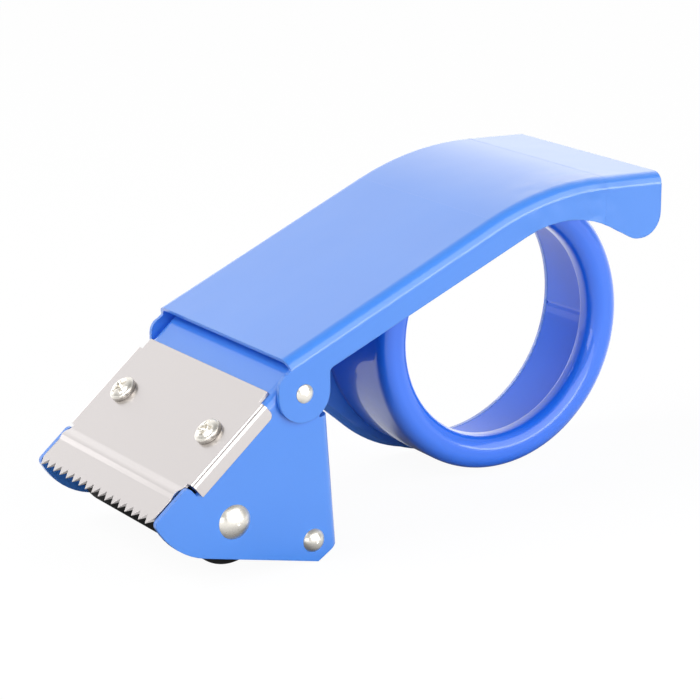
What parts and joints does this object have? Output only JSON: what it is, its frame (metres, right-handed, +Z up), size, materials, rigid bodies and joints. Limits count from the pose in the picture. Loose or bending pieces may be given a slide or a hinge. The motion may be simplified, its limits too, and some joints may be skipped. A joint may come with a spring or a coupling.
{
  "type": "packing tape dispenser",
  "caption": "Hand-held packing tape dispenser in painted sheet steel: folded head with toothed blade and pressure roller, ring for the tape's core, hinged handle.",
  "frame": {"origin": "on the axis of the ring that carries the tape's core, at the middle plane between the head's side plates: the centre of a roll of tape in place", "axes": "+X to the rear, away from the blade; +Y across, towards the side whose plate carries the ring, so the tape goes on from -Y; +Z up, as the dispenser stands on a table"},
  "size_m": [0.1589, 0.0628, 0.083],
  "materials": {
    "head_paint": "gloss",
    "handle_paint": "gloss",
    "blade_steel": "satin",
    "nickel": "bright",
    "zinc": "zinc plated",
    "guide_steel": "satin",
    "roller_rubber": "matte",
    "core_plastic": "matte",
    "bush_plastic": "matte"
  },
  "bodies": {
    "head": {"head_frame": "head_paint", "ring": "head_paint", "hinge_rivet_near": "nickel", "hinge_rivet_far": "nickel", "hinge_washer_near": "zinc", "hinge_washer_far": "zinc", "blade": "blade_steel", "blade_screw_near": "nickel", "blade_screw_far": "nickel", "blade_washer_near": "zinc", "blade_washer_far": "zinc", "blade_nut_near": "zinc", "blade_nut_far": "zinc", "roller_axle": "nickel", "guide_axle": "nickel"},
    "handle": {"handle": "handle_paint"},
    "roller": {"roller_core": "core_plastic", "roller_sleeve": "roller_rubber", "roller_bush_near": "bush_plastic", "roller_bush_far": "bush_plastic"},
    "guide": {"guide_sleeve": "guide_steel"}
  },
  "joints": [
    {"name": "handle_hinge", "type": "hinge", "parent": "head", "child": "handle", "pos_m": [-0.0798, 0, 0.0035], "axis": [0, -1, 0], "range_deg": [-2, 40]},
    {"name": "roller_spin", "type": "hinge", "parent": "head", "child": "roller", "pos_m": [-0.0982, 0, -0.0247], "axis": [0, -1, 0], "continuous": true},
    {"name": "guide_spin", "type": "hinge", "parent": "head", "child": "guide", "pos_m": [-0.0766, 0, -0.0334], "axis": [0, -1, 0], "continuous": true}
  ]
}
